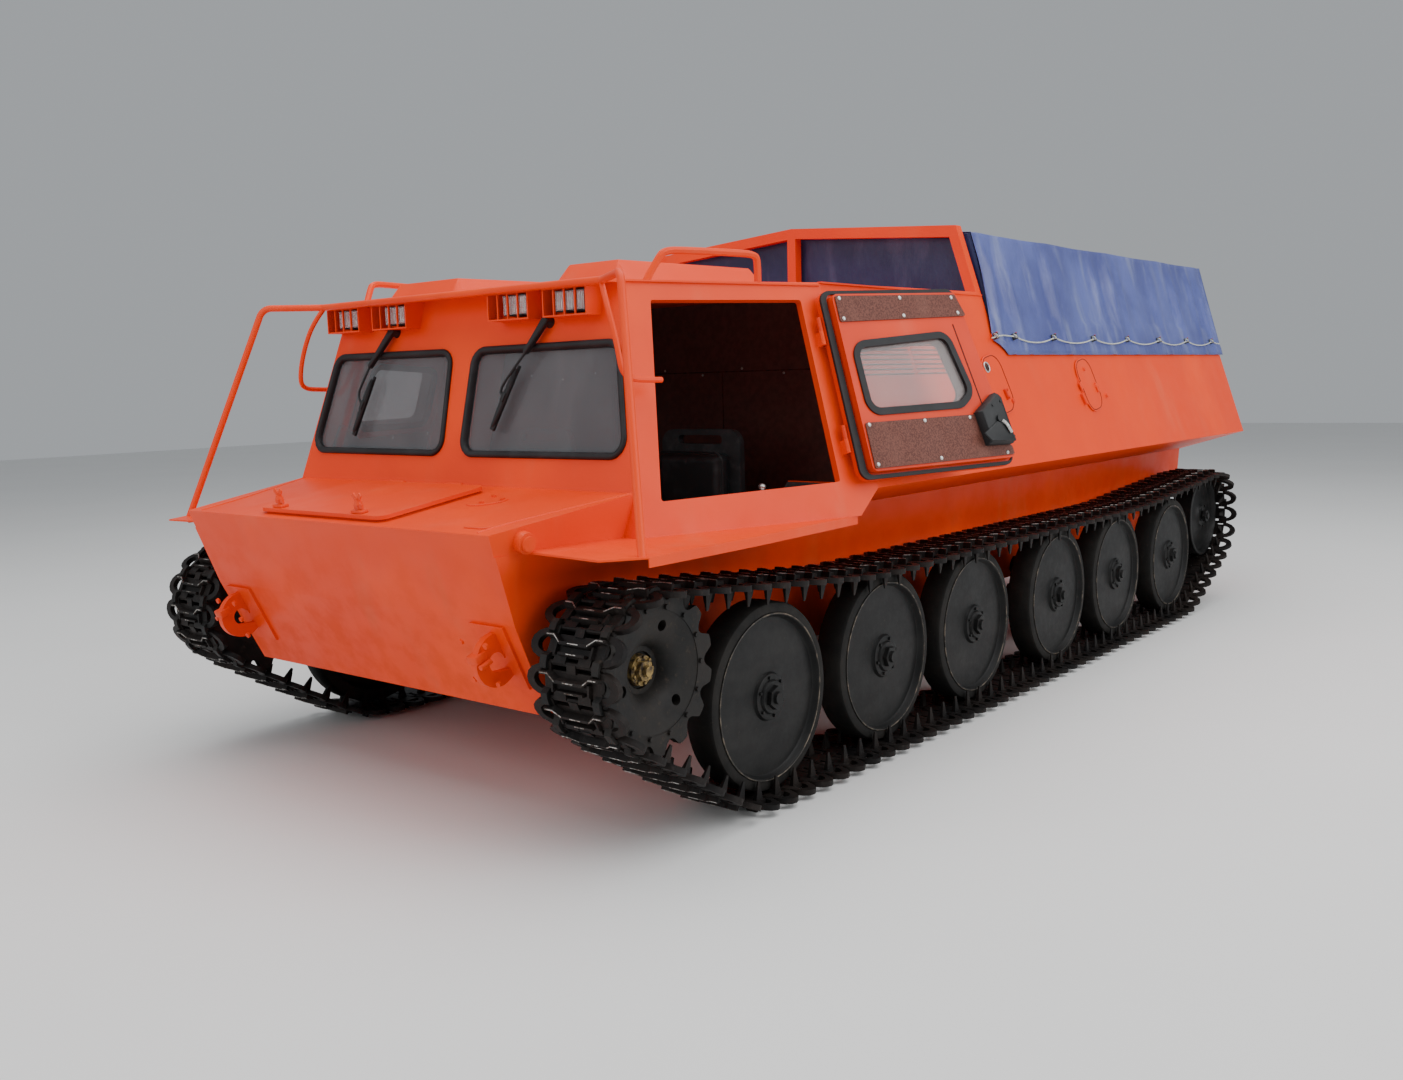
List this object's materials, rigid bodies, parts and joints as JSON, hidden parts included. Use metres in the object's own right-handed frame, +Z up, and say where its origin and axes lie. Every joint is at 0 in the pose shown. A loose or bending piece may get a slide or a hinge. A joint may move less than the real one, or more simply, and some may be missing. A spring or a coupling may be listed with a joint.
{
  "type": "tracked all-terrain vehicle",
  "caption": "Orange tracked all-terrain carrier with a faceted cab, visor lamps, guard tubes and a blue canopy over its load bed; the left door stands open.",
  "frame": {"origin": "middle of the whole bounding box at ground level, with the left door open", "axes": "+X to the vehicle's left, +Y to its tail, +Z up; it drives towards -Y"},
  "size_m": [2.89, 6.2409, 2.248],
  "materials": {
    "black_plastic": "moulded, slightly worn",
    "black_rubber": "matt extruded rubber",
    "blue_tarp": "coated tarpaulin with a soft sheen",
    "brown_ply": "film-faced plywood, satin",
    "clear_glass": "flat laminated glass",
    "dark_floor": "ribbed mat",
    "engine_iron": "cast block",
    "lamp": "lamp bodies with clear lenses",
    "orange_paint": "semi-gloss orange enamel",
    "red_lamp": "red lamp lens",
    "rope": "pale braided cord",
    "seat_cover": "black coated fabric",
    "track_steel": "muddy cast links",
    "tyre": "solid rubber, scuffed",
    "wheel_paint": "dark grey, dusty"
  },
  "bodies": {
    "body": {"bonnet_deck": "orange_paint", "bulkhead": "brown_ply", "cab_back": "orange_paint", "cab_front": "orange_paint", "cab_roof": "orange_paint", "cab_side_left": "orange_paint", "cab_side_right": "orange_paint", "controls": "black_plastic", "engine": "engine_iron", "fenders": "orange_paint", "floors": "dark_floor", "grab_rails": "orange_paint", "guard_frame": "orange_paint", "hoop_frame": "orange_paint", "hull_tub": "orange_paint", "idlers": "wheel_paint", "lamp_cages": "orange_paint", "rear_lamps": "red_lamp", "rear_wall": "orange_paint", "road_wheels": "wheel_paint", "seat_frames": "wheel_paint", "seat_pads": "seat_cover", "side_panel_left": "orange_paint", "side_panel_right": "orange_paint", "sprockets": "track_steel", "swing_arms": "wheel_paint", "tarp": "blue_tarp", "tarp_bows": "orange_paint", "tarp_rope": "rope", "tow_hooks": "orange_paint", "track_left": "track_steel", "track_right": "track_steel", "wheel_tyres": "tyre", "windscreen_seals": "black_rubber", "windscreens": "clear_glass", "wipers": "black_plastic", "work_lamps": "lamp"},
    "door_left": {"door_left_glass": "clear_glass", "door_left_lining": "brown_ply", "door_left_lock": "black_plastic", "door_left_panel": "orange_paint", "door_left_seals": "black_rubber"},
    "door_right": {"door_right_glass": "clear_glass", "door_right_lining": "brown_ply", "door_right_lock": "black_plastic", "door_right_panel": "orange_paint", "door_right_seals": "black_rubber"},
    "bonnet_hatch": {"bonnet_hatch": "orange_paint"},
    "roof_hatch_left": {"roof_hatch_left": "orange_paint"},
    "roof_hatch_right": {"roof_hatch_right": "orange_paint"},
    "rear_door": {"rear_door": "orange_paint"},
    "filler_flap": {"filler_flap": "orange_paint"},
    "side_flap": {"side_flap": "orange_paint"}
  },
  "joints": [
    {"name": "door_left_swing", "type": "hinge", "parent": "body", "child": "door_left", "pos_m": [1.11466, -1.67902, 1.21399], "axis": [-0.292, 0.07, 0.9539], "range_deg": [-180, 0]},
    {"name": "door_right_swing", "type": "hinge", "parent": "body", "child": "door_right", "pos_m": [-1.36459, -1.67902, 1.21399], "axis": [-0.292, -0.07, -0.9539], "range_deg": [0, 180]},
    {"name": "bonnet_hatch_lift", "type": "hinge", "parent": "body", "child": "bonnet_hatch", "pos_m": [-0.19246, -2.60794, 1.13378], "axis": [-1, 0, 0], "range_deg": [0, 100]},
    {"name": "roof_hatch_left_lift", "type": "hinge", "parent": "body", "child": "roof_hatch_left", "pos_m": [0.36254, -1.35772, 1.86846], "axis": [-1, 0, 0], "range_deg": [0, 100]},
    {"name": "roof_hatch_right_lift", "type": "hinge", "parent": "body", "child": "roof_hatch_right", "pos_m": [-0.61496, -1.55771, 1.86626], "axis": [-1, 0, 0], "range_deg": [0, 100]},
    {"name": "rear_door_swing", "type": "hinge", "parent": "body", "child": "rear_door", "pos_m": [0.26704, 3.0285, 1.26], "axis": [0, 0, -1], "range_deg": [0, 110]},
    {"name": "filler_flap_swing", "type": "hinge", "parent": "body", "child": "filler_flap", "pos_m": [1.07821, 0.56312, 1.37829], "axis": [0.2937, 0.342, -0.8926], "range_deg": [0, 110]},
    {"name": "side_flap_swing", "type": "hinge", "parent": "body", "child": "side_flap", "pos_m": [1.07196, -0.46488, 1.39729], "axis": [0.2937, 0.342, -0.8926], "range_deg": [0, 110]}
  ]
}
